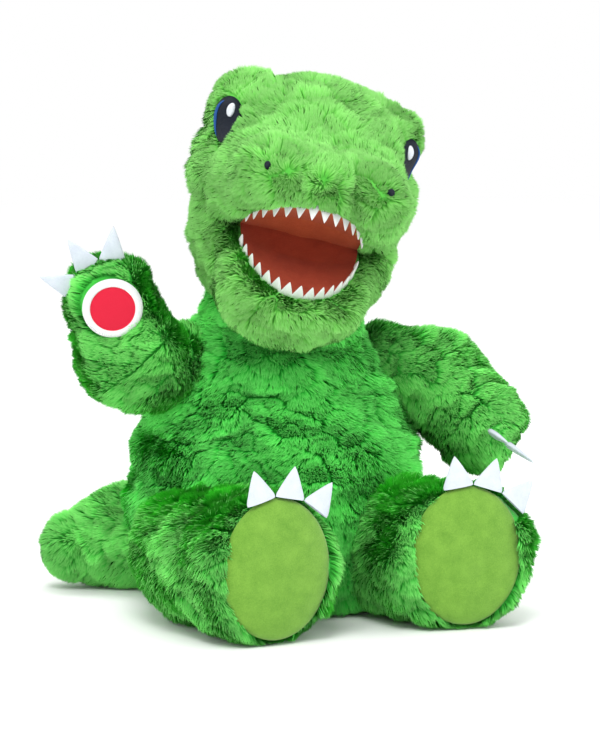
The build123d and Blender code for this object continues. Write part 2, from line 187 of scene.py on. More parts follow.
def hashed(cells, salt):
    """Random number from 0 to 1 for each whole-number cell."""
    mixed = (cells[..., 0] * 73856093) ^ (cells[..., 1] * 19349663) ^ (cells[..., 2] * 83492791)
    mixed = mixed ^ (salt * 2654435761)
    mixed = (mixed ^ (mixed >> 13)) * 1274126177
    mixed = (mixed ^ (mixed >> 16)) & 0xFFFFFF
    return mixed / float(0xFFFFFF)


def noise(points, size, salt):
    """Smooth noise from 0 to 1 with features of a size."""
    scaled = points / size
    low = np.floor(scaled).astype(np.int64)
    part = scaled - low
    part = part * part * (3 - 2 * part)
    total = np.zeros(len(points))
    for corner in np.ndindex(2, 2, 2):
        step = np.array(corner)
        share = np.prod(np.where(step, part, 1 - part), axis=-1)
        total += share * hashed(low + step, salt)
    return total


def tufts(points, size, salt):
    """Nearest tuft centre to each point, the distance in tuft sizes, and the tuft's own number."""
    scaled = points / size
    cells = np.floor(scaled).astype(np.int64)
    best = np.full(len(points), 9.0)
    centres = np.zeros_like(points)
    numbers = np.zeros(len(points))
    for offset in np.ndindex(3, 3, 3):
        cell = cells + np.array(offset) - 1
        spot = cell + np.stack([hashed(cell, salt + k) for k in range(3)], -1)
        distance = length_of(scaled - spot)
        nearer = distance < best
        best[nearer] = distance[nearer]
        centres[nearer] = (spot * size)[nearer]
        numbers[nearer] = hashed(cell, salt + 7)[nearer]
    return centres, best, numbers


# Distance fields: negative inside ---------------------------------------------------------


def soft_min(a, b, reach):
    share = np.clip(0.5 + 0.5 * (b - a) / reach, 0, 1)
    return b * (1 - share) + a * share - reach * share * (1 - share)


def soft_max(a, b, reach):
    return -soft_min(-a, -b, reach)


def ball(points, centre, radius):
    return length_of(points - mm(centre)) - radius / 1000


def egg(points, centre, radii):
    """Ellipsoid along the axes."""
    scaled = (points - mm(centre)) / mm(radii)
    far = length_of(scaled)
    return far * (far - 1) / np.maximum(length_of(scaled / mm(radii)), 1e-6)


def pebble(points, centre, radius, half_height):
    """Upright disc with a fully rounded rim."""
    rel = points - mm(centre)
    out = np.maximum(np.hypot(rel[..., 0], rel[..., 1]) - (radius - half_height) / 1000, 0)
    return np.hypot(out, rel[..., 2]) - half_height / 1000


def cone(points, start, end, first, last):
    """Straight limb between two balls."""
    start, end = mm(start), mm(end)
    run = end - start
    along = np.clip(dot(points - start, run) / dot(run, run), 0, 1)
    radius = (first + (last - first) * along) / 1000
    return length_of(points - start - along[..., None] * run) - radius


def chain(points, line, radii, inset=SKIN_IN):
    """Limb through several balls, with soft elbows."""
    parts = [
        cone(points, a, b, ra - inset, rb - inset)
        for a, b, ra, rb in zip(line, line[1:], radii, radii[1:])
    ]
    field = parts[0]
    for part in parts[1:]:
        field = soft_min(field, part, 0.014)
    return field


def torso_field(points):
    """Pear shaped body on a flat seat."""
    centre = mm(TORSO_CENTRE)
    height = points[..., 2]
    levels = mm(TORSO_SECTIONS["height"])
    half_width = np.interp(height, levels, mm(TORSO_SECTIONS["half_width"]))
    half_depth = np.interp(height, levels, mm(TORSO_SECTIONS["half_depth"]))
    across = (points[..., 0] - centre[0]) / half_width
    along = (points[..., 1] - centre[1]) / half_depth
    pear = (np.hypot(across, along) - 1) * half_depth
    pear = soft_max(pear, height - levels[-1], 0.03)
    field = soft_min(pear, ball(points, TORSO_CENTRE, TORSO_RADIUS), 0.02)
    return soft_max(field, 0.001 - height, 0.016)


def neck_field(points):
    pivot = [1000 * value for value in joint_place("head_nod")]
    return np.maximum(ball(points, pivot, NECK_RADIUS - SKIN_IN), 0.196 - points[..., 2])


def mouth_hollow(points, pitch, depth):
    """Distance above a mouth plane, less the hollow that is pressed into it inside the lips."""
    forward, above = pitched(pitch)
    rel = points - mm(FOLD)
    reach = dot(rel, forward)
    rim = np.hypot(rel[..., 0] / (LIP_HALF_WIDTH / 1000), reach / (LIP_LENGTH / 1000))
    hollow = depth * np.clip(1 - rim**2, 0, 1) * np.clip(reach / 0.02, 0, 1)
    return dot(rel, above), hollow, rim


def whole_head(points):
    """Skull, snout and brow bumps, in the head's own frame."""
    field = egg(points, **SKULL)
    field = soft_min(field, pebble(points, **MUZZLE), 0.026)
    for side in (-1, 1):
        x, y, z = BUMP_CENTRE
        field = soft_min(field, ball(points, (side * x, y, z), BUMP_RADIUS), 0.012)
        x, y, z = SNOUT_PAD
        field = soft_min(field, ball(points, (side * x, y, z), SNOUT_PAD_RADIUS), 0.014)
    return soft_min(field, cheeks(points), 0.02)


def cheeks(points):
    """Round cheek on each side of the mouth, in the head's own frame."""
    x, y, z = CHEEK["centre"]
    left = egg(points, (x, y, z), CHEEK["radii"])
    return np.minimum(left, egg(points, (-x, y, z), CHEEK["radii"]))


def head_field(points):
    local = to_head(points)
    above, hollow, _ = mouth_hollow(local, PALATE_PITCH, PALATE_DEPTH)
    _, behind = pitched(-99)
    throat = dot(local - mm(FOLD), -behind)
    kept = np.minimum(hollow - above, -throat)
    return soft_max(whole_head(local), kept, 0.008)


def jaw_field(points):
    local = to_head(points)
    above, hollow, _ = mouth_hollow(local, TONGUE_PITCH, -TONGUE_DEPTH)
    field = soft_min(pebble(local, **CHIN), egg(local, **JAW_BALL), 0.02)
    field = soft_min(field, cheeks(local), 0.02)
    field = soft_max(field, above - hollow + 0.001, 0.008)
    return np.maximum(field, local[..., 1] - 0.008)


def foot_normal(side):
    return spin("Z", LEGS[side]["turn"]) @ np.array((0.0, -1.0, 0.0))


def leg_field(side):
    hip, sole = LEGS[side]["line"]
    beyond = np.array(sole) + 0.3 * (np.array(sole) - np.array(hip))

    def field(points):
        thigh = cone(points, hip, beyond, LEG_RADII[0] - SKIN_IN, LEG_RADII[1] + 2.0)
        flat = dot(points - mm(sole), foot_normal(side)) - 0.002
        return soft_max(soft_max(thigh, flat, 0.016), 0.001 - points[..., 2], 0.012)

    return field


def arm_field(side):
    def field(points):
        arm = chain(points, ARMS[side], ARM_RADII[side])
        if side == "right":
            palm = unit(np.array(PALM_NORMAL))
            flat = dot(points - mm(ARMS[side][2]), palm) - PALM_DEPTH / 1000
            arm = soft_max(arm, flat, 0.010)
        return arm

    return field


def tail_field(points):
    return soft_max(chain(points, TAIL_LINE, TAIL_RADII), 0.001 - points[..., 2], 0.010)


FIELDS = {
    "torso": torso_field,
    "neck": neck_field,
    "head": head_field,
    "jaw": jaw_field,
    "arm_left": arm_field("left"),
    "arm_right": arm_field("right"),
    "leg_left": leg_field("left"),
    "leg_right": leg_field("right"),
    "tail": tail_field,
}


def joint_place(name):
    """Where a joint turns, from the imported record."""
    (joint,) = [j for j in frame["record"]["behaviour"]["joints"] if j["name"] == name]
    return joint["pos_m"]


# Meshes -----------------------------------------------------------------------------------


def field_mesh(field, low, high, voxel=VOXEL):
    """Points and quads of a field's surface inside a box."""
    counts = np.ceil((high - low) / voxel).astype(int) + 1
    axes = [low[k] + voxel * np.arange(counts[k]) for k in range(3)]
    grid = np.stack(np.meshgrid(*axes, indexing="ij"), -1)
    values = field(grid.reshape(-1, 3)).reshape(counts)
    volume = openvdb.FloatGrid(background=1.0)
    volume.copyFromArray((values / voxel).astype(np.float32))
    points, quads = volume.convertToQuads(0.0)
    return points.astype(float) * voxel + low, quads.astype(np.int64)


def lumpy(body):
    """Field whose surface rises and sinks in soft lumps, as loosely filled fur cloth does."""
    field = FIELDS[body]

    def lumped(points):
        depth = LUMP_DEPTH * (noise(points, LUMP_SIZE, 17) - 0.55)
        if body in MOUTH_OF:
            above, _, rim = mouth_hollow(to_head(points), *MOUTH_OF[body])
            depth = depth * np.clip(np.maximum(np.abs(above) / 0.012, (rim - 1) / 0.2) - 0.6, 0, 1)
        return field(points) - depth

    return lumped


def slopes(field, points, step=0.0006):
    """Unit outward normals of a field."""
    normals = np.zeros_like(points)
    for k in range(3):
        shift = np.zeros(3)
        shift[k] = step
        normals[:, k] = field(points + shift) - field(points - shift)
    return unit(normals)


def make_mesh(name, points, faces, smooth=True, uv=None):
    """Mesh object from arrays of points and same-sided faces."""
    mesh = bpy.data.meshes.new(name)
    sides = faces.shape[1]
    mesh.vertices.add(len(points))
    mesh.vertices.foreach_set("co", points.astype(np.float32).ravel())
    mesh.loops.add(faces.size)
    mesh.loops.foreach_set("vertex_index", faces.astype(np.int32).ravel())
    mesh.polygons.add(len(faces))
    mesh.polygons.foreach_set("loop_start", np.arange(len(faces), dtype=np.int32) * sides)
    mesh.update(calc_edges=True)
    mesh.polygons.foreach_set("use_smooth", np.full(len(faces), smooth))
    if uv is not None:
        layer = mesh.uv_layers.new(name=UV_NAME)
        layer.data.foreach_set("uv", uv[faces.ravel()].astype(np.float32).ravel())
    made = bpy.data.objects.new(name, mesh)
    bpy.context.scene.collection.objects.link(made)
    return made


def dress(piece, body, material, replaces=()):
    """Material and body of a finished piece; hides the CAD parts it replaces."""
    piece.data.materials.append(material)
    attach(piece, body)
    if replaces:
        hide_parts(*replaces)
    return piece


# Materials --------------------------------------------------------------------------------


class Paint:
    """Node material with one principled shader."""

    def __init__(self, name, colour, roughness=0.9, sheen=0.0, specular=0.25):
        self.material = bpy.data.materials.new(name)
        self.material.use_nodes = True
        self.nodes = self.material.node_tree.nodes
        self.links = self.material.node_tree.links
        self.shader = self.nodes["Principled BSDF"]
        self.shader.inputs["Base Color"].default_value = (*colour, 1)
        self.shader.inputs["Roughness"].default_value = roughness
        self.shader.inputs["Sheen Weight"].default_value = sheen
        self.shader.inputs["Sheen Roughness"].default_value = 0.5
        self.shader.inputs["Specular IOR Level"].default_value = specular
        self.material.diffuse_color = (*colour, 1)

    def add(self, kind, **settings):
        node = self.nodes.new(kind)
        for key, value in settings.items():
            if key in node.inputs:
                node.inputs[key].default_value = value
            else:
                setattr(node, key, value)
        return node

    def link(self, source, target):
        self.links.new(source, target)

    def place(self):
        return self.add("ShaderNodeTexCoord").outputs["Object"]

    def grain(self, scale, detail=4.0, rough=0.6):
        """Noise over the piece's own coordinates."""
        node = self.add("ShaderNodeTexNoise", Scale=scale, Detail=detail, Roughness=rough)
        self.link(self.place(), node.inputs["Vector"])
        return node.outputs["Fac"]

    def ramp(self, value, stops):
        node = self.add("ShaderNodeValToRGB")
        while len(node.color_ramp.elements) < len(stops):
            node.color_ramp.elements.new(0.5)
        for element, (place, colour) in zip(node.color_ramp.elements, stops):
            element.position = place
            element.color = (*colour, 1)
        self.link(value, node.inputs["Fac"])
        return node.outputs["Color"]

    def colour(self, socket):
        self.link(socket, self.shader.inputs["Base Color"])

    def bump(self, height, strength, distance):
        node = self.add("ShaderNodeBump", Strength=strength, Distance=distance)
        self.link(height, node.inputs["Height"])
        self.link(node.outputs["Normal"], self.shader.inputs["Normal"])


def fur_paint(name, root, middle, tip):
    """Blades from dark roots to light tips, the darkening towards the roots being painted shade deep in
    the pile; each tuft a little different in tone, partly at random and partly by painted shade in the
    valleys.
    """
    paint = Paint(name, middle, roughness=0.9, sheen=0.08, specular=0.08)
    paint.shader.inputs["Sheen Tint"].default_value = (0.6, 1.0, 0.45, 1)
    place = paint.add("ShaderNodeUVMap", uv_map=UV_NAME)
    split = paint.add("ShaderNodeSeparateXYZ")
    paint.link(place.outputs["UV"], split.inputs[0])
    # Dark roots to light tips: painted shade deep in the pile.
    along = paint.ramp(split.outputs["Y"], ((0.0, root), (0.45, middle), (1.0, tip)))
    # Brightness from each blade's tone, which is partly random and partly painted shade in the pile's
    # valleys.
    tone_and_valley_shade = paint.add("ShaderNodeMapRange")
    paint.link(split.outputs["X"], tone_and_valley_shade.inputs["Value"])
    tone_and_valley_shade.inputs["To Min"].default_value = 0.48
    tone_and_valley_shade.inputs["To Max"].default_value = 1.3
    tint = paint.add("ShaderNodeHueSaturation")
    paint.link(tone_and_valley_shade.outputs["Result"], tint.inputs["Value"])
    paint.link(along, tint.inputs["Color"])
    paint.colour(tint.outputs["Color"])
    return paint.material


def cloth_paint(name, dark, light, scale, bump=0.4, sheen=0.4, depth=0.0006):
    """Short brushed cloth: fine mottled pile."""
    paint = Paint(name, light, roughness=0.92, sheen=sheen, specular=0.1)
    patches = paint.grain(scale / 12, detail=3)
    pile = paint.grain(scale, detail=6, rough=0.75)
    blend = paint.add("ShaderNodeMath", operation="MULTIPLY_ADD")
    paint.link(pile, blend.inputs[0])
    blend.inputs[1].default_value = 0.6
    half = paint.add("ShaderNodeMath", operation="MULTIPLY")
    paint.link(patches, half.inputs[0])
    half.inputs[1].default_value = 0.4
    paint.link(half.outputs[0], blend.inputs[2])
    paint.colour(paint.ramp(blend.outputs[0], ((0.3, dark), (0.7, light))))
    paint.bump(pile, bump, depth)
    return paint.material


def thread_paint(name, dark, light, across, stitches=900.0):
    """Satin stitches side by side."""
    paint = Paint(name, light, roughness=0.6, specular=0.2)
    wave = paint.add("ShaderNodeTexWave", Scale=stitches, Distortion=2.0)
    wave.inputs["Detail Scale"].default_value = 2.0
    wave.bands_direction = across
    paint.link(paint.place(), wave.inputs["Vector"])
    paint.colour(paint.ramp(wave.outputs["Fac"], ((0.0, dark), (1.0, light))))
    paint.bump(wave.outputs["Fac"], 0.6, 0.0003)
    return paint.material


# Root, middle and tip greens. The torso's darker, more saturated greens are partly painted shadow from
# under the chin and partly the pile's own colour.
GREEN = {
    "head": ((0.06, 0.42, 0.04), (0.15, 0.58, 0.08), (0.28, 0.68, 0.18)),
    "torso": ((0.008, 0.34, 0.02), (0.040, 0.62, 0.055), (0.19, 0.90, 0.17)),
    "limb": ((0.016, 0.36, 0.025), (0.08, 0.66, 0.075), (0.29, 0.93, 0.21)),
}
SHADE_OF = {"head": "head", "jaw": "head", "neck": "torso", "torso": "torso"}


# Fur --------------------------------------------------------------------------------------


def scatter(points, quads, density, rng):
    """Seeded points spread evenly over a surface."""
    a, b, c, d = (points[quads[:, k]] for k in range(4))
    corners = np.concatenate([np.stack([a, b, c], 1), np.stack([a, c, d], 1)])
    sides = np.cross(corners[:, 1] - corners[:, 0], corners[:, 2] - corners[:, 0])
    areas = length_of(sides) / 2
    count = int(areas.sum() * density)
    picked = corners[rng.choice(len(corners), count, p=areas / areas.sum())]
    u, v = rng.random((2, count, 1))
    flip = u + v > 1
    u, v = np.where(flip, 1 - u, u), np.where(flip, 1 - v, v)
    return picked[:, 0] * (1 - u - v) + picked[:, 1] * u + picked[:, 2] * v


def hidden(body, points):
    """True where a point is deep inside another body."""
    deep = np.zeros(len(points), bool)
    for other, field in FIELDS.items():
        if other != body:
            deep |= field(points) < -HIDDEN_DEPTH
    return deep


def down_comb(points):
    """Pile brushed downwards."""
    comb = np.zeros_like(points)
    comb[:, 2] = -1.0
    return comb


def foot_comb(side):
    """Pile brushed along the leg towards the sole, and over its edge."""
    facing = foot_normal(side)

    def comb(points):
        return 0.4 * facing + np.array((0, 0, -0.9)) + np.zeros_like(points)

    return comb


def arm_comb(side):
    line = mm(ARMS[side])

    def comb(points):
        near_paw = length_of(points - line[2]) < length_of(points - line[0])
        ways = np.where(near_paw[:, None], unit(line[2] - line[1]), unit(line[1] - line[0]))
        return 0.7 * ways + np.array((0, 0, -0.5))

    return comb


def tail_comb(points):
    line = mm(TAIL_LINE)
    return np.zeros_like(points) + unit(line[2] - line[0]) * 0.8 + np.array((0, 0, -0.4))


def head_comb(points):
    """Pile brushed from the nose back over the head, and down its back."""
    behind = np.clip((to_head(points)[:, 1:2] + 0.012) / 0.045, 0, 1)
    back = HEAD_AXES @ unit(np.array((0, 0.94, -0.34)))
    return back * (1 - behind) + np.array((0, 0, -1.0)) * behind


COMBS = {
    "torso": down_comb,
    "neck": down_comb,
    "head": head_comb,
    "jaw": down_comb,
    "arm_left": arm_comb("left"),
    "arm_right": arm_comb("right"),
    "leg_left": foot_comb("left"),
    "leg_right": foot_comb("right"),
    "tail": tail_comb,
}


def eye_frame(side):
    """Middle of a brow bump, and the eye's across, up and outward directions, head frame."""
    look = spin("Z", side * EYE_TURN) @ spin("X", EYE_DROP) @ np.array((0, -1.0, 0))
    across = unit(np.cross((0, 0, 1.0), look))
    return mm(BUMP_CENTRE) * (side, 1, 1), across, np.cross(look, across), look


def eye_oval(side, local):
    """Distance from the middle of an eye in eye sizes, and whether a point is in front of it."""
    crown, across, up, look = eye_frame(side)
    rel = local - crown
    wide = dot(rel, across) * 1000 / EYE_HALF_WIDTH
    return np.hypot(wide, dot(rel, up) * 1000 / EYE_HALF_HEIGHT), dot(rel, look) > 0


def nostril_gap(side, local):
    return length_of(local - mm((side * NOSTRIL_SIDE, -101, NOSTRIL_RISE)))


def bare_head(points):
    """No fur on the eyes, the nostrils or inside the lips."""
    local = to_head(points)
    bare = np.zeros(len(points), bool)
    for side in (-1, 1):
        oval, in_front = eye_oval(side, local)
        bare |= (oval < 1.02) & in_front
        bare |= nostril_gap(side, local) < 0.0045
    above, _, rim = mouth_hollow(local, PALATE_PITCH, PALATE_DEPTH)
    return bare | ((rim < 1.02) & (above < 0.011) & (above > -0.004))


def bare_jaw(points):
    above, _, rim = mouth_hollow(to_head(points), TONGUE_PITCH, -TONGUE_DEPTH)
    return (rim < 1.02) & (above > -0.011)


def near_claws(kind, side, points):
    """How close points are to the roots of the claws, from 0 to 1."""
    middle, _, out = claw_plane(kind, side)
    start = 50 if kind == "foot" else 33
    near = np.zeros(len(points))
    for way in claw_ways(kind, side):
        gap = length_of(points - middle - way * start / 1000 - out * 0.003)
        near = np.maximum(near, np.clip(1.6 - gap / 0.012, 0, 1))
    return near


def bare_foot(side):
    def bare(points):
        rel = points - mm(LEGS[side]["line"][1])
        across = np.cross(foot_normal(side), (0, 0, 1.0))
        wide = dot(rel, across) * 1000 / SOLE_HALF_WIDTH
        oval = np.hypot(wide, rel[:, 2] * 1000 / SOLE_HALF_HEIGHT)
        front = dot(rel, foot_normal(side)) > -0.005
        return ((oval < 0.97) & front) | (front & (near_claws("foot", side, points) > 0.5))

    return bare


def bare_palm(points):
    rel = points - mm(ARMS["right"][2])
    palm = unit(np.array(PALM_NORMAL))
    out = dot(rel, palm)
    return (length_of(rel - out[:, None] * palm) < BADGE_RADIUS / 1000) & (out > 0)


BARE = {
    "head": bare_head,
    "jaw": bare_jaw,
    "leg_left": bare_foot("left"),
    "leg_right": bare_foot("right"),
    "arm_right": bare_palm,
}


def near_face(points):
    """How close points are to an eye or a nostril, from 0 to 1."""
    local = to_head(points)
    near = np.zeros(len(points))
    for side in (-1, 1):
        oval, in_front = eye_oval(side, local)
        near = np.maximum(near, np.clip((1.7 - oval) / 0.6, 0, 1) * in_front)
        near = np.maximum(near, np.clip(1.5 - nostril_gap(side, local) / 0.010, 0, 1))
    return near


def pile_length(body, points):
    """Shorter pile round the mouth and on the floor."""
    length = np.full(len(points), FUR_LENGTH)
    if body == "head":
        length *= 1 - 0.55 * near_face(points)
    if body in MOUTH_OF:
        above, _, rim = mouth_hollow(to_head(points), *MOUTH_OF[body])
        near = np.clip(1 - np.abs(above) / 0.02, 0, 1) * np.clip(1 - (rim - 1.0) / 0.35, 0, 1)
        length *= 0.92 - 0.5 * near
    if body.startswith(("leg", "arm")):
        kind = "foot" if body.startswith("leg") else "paw"
        length *= 1 - 0.6 * near_claws(kind, body[4:], points)
    length *= np.clip(points[:, 2] / 0.006, 0.35, 1)
    return length


def flows(body, points, normals, rng):
    """Direction along the skin in which each blade leans."""
    swirl = (noise(points, SWIRL_SIZE, 3) - 0.5) * 2.2 + (rng.random(len(points)) - 0.5) * 0.5
    comb = COMBS[body](points)
    flow = unit(comb - dot(comb, normals)[:, None] * normals)
    side = np.cross(normals, flow)
    return flow * np.cos(swirl)[:, None] + side * np.sin(swirl)[:, None]


def blades(body, points, normals, rng):
    """Corner points, normals and tones of the blades that grow from points; the tones are partly random
    and partly painted shade in the valleys of short pile.
    """
    count = len(points)
    warp = np.stack([noise(points, 0.012, 40 + k) for k in range(3)], -1) - 0.5
    centres, near, number = tufts(points + TUFT_WARP * warp, TUFT_SIZE, 11)
    centres = centres - TUFT_WARP * warp
    centres = centres - dot(centres - points, normals)[:, None] * normals
    flow = flows(body, points, normals, rng)
    wave = noise(points + 0.02 * warp, np.array((0.020, 0.020, 0.0095)), 5)
    length = pile_length(body, points) * (0.8 + 0.2 * rng.random(count))
    length = (length * (1.03 - 0.16 * np.clip(near, 0, 1) ** 2) * (0.55 + 0.85 * wave))[:, None]
    lean = (0.7 + 0.5 * rng.random(count))[:, None]
    free = points + unit(normals + lean * flow) * length
    gathered = centres + normals * length * 0.85 + flow * length * 0.5
    tip = free * 0.78 + gathered * 0.22
    root = points - normals * 0.0012
    middle = (root + tip) / 2 + normals * length * 0.10
    outward = normals + 0.3 * rng.normal(size=(count, 3))
    turn = unit(np.cross(tip - root, outward)) * FUR_WIDTH / 2
    corners = np.stack([root - turn, root + turn, middle - 0.9 * turn, middle + 0.9 * turn, tip], 1)
    corners[..., 2] = np.maximum(corners[..., 2], 0.0004)
    rounding = (points - centres) / (TUFT_SIZE.mean() / 2)
    facing = unit(normals + 0.12 * rounding)
    # Tone per tuft and blade at random, plus painted shade: the wave term darkens the same valleys
    # where it shortens the pile.
    tone_and_valley_shade = 0.1 * number + 0.15 * rng.random(count) + 0.15 * noise(points, 0.05, 9) + 0.75 * wave - 0.05
    tone_and_valley_shade = np.clip(tone_and_valley_shade, 0, 0.999)
    return corners, facing, tone_and_valley_shade


def plant(name, body, corners, facing, tone_and_valley_shade, material):
    """One fur piece from blades."""
    count = len(corners)
    faces = (BLADE_FACES[None] + 5 * np.arange(count)[:, None, None]).reshape(-1, 3)
    column = np.floor(tone_and_valley_shade * SHADES)
    u = (column[:, None] + BLADE_SIDE) / SHADES
    v = np.broadcast_to(0.01 + 0.98 * BLADE_RISE, u.shape)
    piece = make_mesh(name, corners.reshape(-1, 3), faces, uv=np.stack([u, v], -1).reshape(-1, 2))
    normals = np.repeat(facing, 5, axis=0)
    piece.data.normals_split_custom_set_from_vertices(normals)
    return dress(piece, body, material)


def grow_fur(body, field, points, quads, material):
    """Fur over a skin, in pieces of a size that exports well."""
    rng = np.random.default_rng(sum(map(ord, body)))
    spots = scatter(points, quads, FUR_DENSITY, rng)
    keep = ~hidden(body, spots)
    if body in BARE:
        keep &= ~BARE[body](spots)
    spots = spots[keep]
    normals = slopes(field, spots)
    corners, facing, tone_and_valley_shade = blades(body, spots, normals, rng)
    parts = int(np.ceil(len(spots) / MOST_BLADES))
    order = np.argsort(spots[:, 2])
    for part, chosen in enumerate(np.array_split(order, parts)):
        name = f"{body}_fur_{part + 1}" if parts > 1 else f"{body}_fur"
        plant(name, body, corners[chosen], facing[chosen], tone_and_valley_shade[chosen], material)


def grow_body(body):
    """Backing cloth and fur of one body."""
    nodes = [f"{body}_skin", f"{body}_stuffing"]
    if body == "head":
        nodes += [node for node in frame["nodes"] if node.startswith("eye_bump")]
    corners = np.array([[list(corner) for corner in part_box(node)] for node in nodes])
    low, high = corners.min((0, 1)) - 0.014, corners.max((0, 1)) + 0.014
    field = lumpy(body)
    points, quads = field_mesh(field, low, high)
    root, middle, tip = GREEN[SHADE_OF.get(body, "limb")]
    # Backing cloth in the root greens: where it shows in the gaps between blades it is painted shade.
    cloth = cloth_paint(f"{body}_backing", root, middle, 900.0)
    skin = dress(make_mesh(f"{body}_cover", points, quads), body, cloth, nodes)
    grow_fur(body, field, points, quads, fur_paint(f"{body}_pile", root, middle, tip))


# Trim -------------------------------------------------------------------------------------


def grid_quads(rings, spokes, closed):
    """Quads between rings of points, each ring's points in a row."""
    quads = []
    for ring in range(rings - 1):
        for spoke in range(spokes if closed else spokes - 1):
            here, beside = ring * spokes + spoke, ring * spokes + (spoke + 1) % spokes
            quads.append((here, here + spokes, beside + spokes, beside))
    return np.array(quads)


def polar_grid(rings, spokes, start=0.0, end=2 * pi):
    """Ring and spoke coordinates of a disc or a fan, and its quads."""
    closed = abs(end - start - 2 * pi) < 1e-6
    around = np.linspace(start, end, spokes, endpoint=not closed)
    out = np.linspace(0.0, 1.0, rings)
    rho, theta = np.meshgrid(out, around, indexing="ij")
    return rho.ravel(), theta.ravel(), grid_quads(rings, spokes, closed)


def sole_piece(side, material):
    """Domed sole that bulges between its sewn edges."""
    rho, theta, quads = polar_grid(48, 96)
    facing = foot_normal(side)
    across = np.cross(facing, (0, 0, 1.0))
    centre = mm(LEGS[side]["line"][1])
    wide = SOLE_HALF_WIDTH / 1000 * across
    high = SOLE_HALF_HEIGHT / 1000 * np.array((0, 0, 1))
    flat = rho[:, None] * (np.cos(theta)[:, None] * wide + np.sin(theta)[:, None] * high)
    dome = 0.001 + 0.0085 * np.sqrt(np.clip(1 - rho**2.6, 0, 1))
    dents = (noise(flat + centre, 0.014, 21) - 0.5) * 0.0012
    dents = dents + (noise(flat + centre, 0.035, 22) - 0.5) * 0.003
    points = centre + flat + (dome + dents * (1 - rho**4))[:, None] * facing
    piece = make_mesh(f"sole_{side}_cloth", points, quads)
    return dress(piece, f"leg_{side}", material, [f"sole_{side}"])


def lining_piece(name, pitch, depth, body, node, material, slot):
    """Mouth lining pressed into its hollow."""
    rho, theta, quads = polar_grid(40, 72, 0.0, pi)
    forward, above = pitched(pitch)
    x = rho * np.cos(theta) * (LIP_HALF_WIDTH - 0.5) / 1000
    reach = rho * np.sin(theta) * (LIP_LENGTH - 0.5) / 1000
    flat = mm(FOLD) + x[:, None] * np.array((1.0, 0, 0)) + reach[:, None] * forward
    rim = np.hypot(x * 1000 / LIP_HALF_WIDTH, reach * 1000 / LIP_LENGTH)
    hollow = depth * np.clip(1 - rim**2, 0, 1) * np.clip(reach / 0.02, 0, 1)
    folds = (noise(flat, 0.016, 31) - 0.5) * 0.0016 * (1 - rho**3)
    lift = hollow - np.sign(depth) * 0.0012 + folds
    points = from_head(flat + lift[:, None] * above)
    if depth > 0:
        quads = quads[:, ::-1]
    piece = make_mesh(name, points, quads)
    return dress(piece, body, material, [node])


def settled(field, points, direction, inset=0.0):
    """Points slid along a direction until they lie on a field's surface."""
    moved = points.copy()
    for _ in range(24):
        moved -= (field(moved) - inset)[:, None] * direction
    return moved


def patch_piece(name, middle, across, up, look, half, stand, body, node, material, slot, cut=None):
    """Embroidered patch that follows the head's surface, raised towards its middle."""
    rho, theta, quads = polar_grid(24, 64)
    x = rho * np.cos(theta) * half[0] / 1000
    y = rho * np.sin(theta) * half[1] / 1000
    if cut is not None:
        x = cut(x, y)
    local = middle + x[:, None] * across + y[:, None] * up + 0.03 * look
    points = settled(lumpy("head"), from_head(local), look @ HEAD_AXES.T)
    rise = stand * np.sqrt(np.clip(1 - rho**6, 0, 1))
    points = points + rise[:, None] * (look @ HEAD_AXES.T)
    piece = make_mesh(name, points, quads)
    return dress(piece, body, material, [node])


def crescent(x, y):
    """Oval pressed to one side, so that it fills only the outer edge of the eye."""
    wide, high = (EYE_HALF_WIDTH - EYE_BORDER) / 1000, (EYE_HALF_HEIGHT - EYE_BORDER) / 1000
    edge = wide * np.sqrt(np.clip(1 - (y / high) ** 2, 0, 1))
    return -edge + (x + edge) * 0.18


def badge_piece(white, red):
    """Plain round badge: a red embroidered disc inside a raised, stitched white border."""
    palm = unit(np.array(PALM_NORMAL))
    aside = unit(np.cross((0, 0, 1.0), palm))
    rise = np.cross(palm, aside)
    centre = mm(ARMS["right"][2]) + palm * (PALM_DEPTH / 1000 + 0.003)
    rho, theta, quads = polar_grid(60, 240)
    reach = rho * BADGE_RADIUS / 1000
    roll = 0.0016 * np.sqrt(np.clip(1 - (2 * (rho - 0.87) / 0.26) ** 2, 0, 1))
    stitch = 0.00022 * np.sin(120 * theta) * (rho > 0.74)
    dome = 0.0024 * (1 - rho**4)
    lift = dome + roll + stitch
    flat = reach[:, None] * (np.cos(theta)[:, None] * aside + np.sin(theta)[:, None] * rise)
    points = centre + flat + lift[:, None] * palm
    inner = (rho[quads].mean(1) * BADGE_RADIUS) < MOTIF_RADIUS
    ring = make_mesh("badge_border_stitches", points, quads[~inner])
    dress(ring, "arm_right", white, ["palm_badge"])
    disc = make_mesh("badge_disc", points, quads[inner])
    dress(disc, "arm_right", red, ["palm_badge_motif"])


def eye_pieces(side, sign, eye, iris, glint):
    """Oval, crescent and glint of one eye, and the nostril on the same side."""
    crown, across, up, look = eye_frame(sign)
    outward = across * (1 if sign * across[0] < 0 else -1)
    name = f"eye_{side}"
    half = (EYE_HALF_WIDTH, EYE_HALF_HEIGHT)
    patch_piece(f"{name}_oval", crown, across, up, look, half, 0.0048, "head", name, eye, "eye_thread")
    half = (EYE_HALF_WIDTH - EYE_BORDER, EYE_HALF_HEIGHT - EYE_BORDER)
    args = (outward, up, look, half, 0.0054, "head", f"{name}_iris", iris, "iris_thread", crescent)
    patch_piece(f"{name}_crescent", crown, *args)
    spot = crown + outward * GLINT_ASIDE + up * GLINT_RISE
    half = (3.6, 5.2)
    args = (across, up, look, half, 0.0060, "head", f"{name}_glint", glint, "glint_thread")
    patch_piece(f"{name}_spot", spot, *args)
    place = mm((sign * NOSTRIL_SIDE, -98, NOSTRIL_RISE))
    forward = unit(np.array((sign * 0.35, -0.9, 0.25)))
    aside = unit(np.cross((0, 0, 1.0), forward))
    rise = np.cross(forward, aside)
    args = (aside, rise, forward, (2.3, 2.9), 0.0044, "head", f"nostril_{side}", eye, "eye_thread")
    patch_piece(f"nostril_{side}_dot", place - 0.012 * forward, *args)


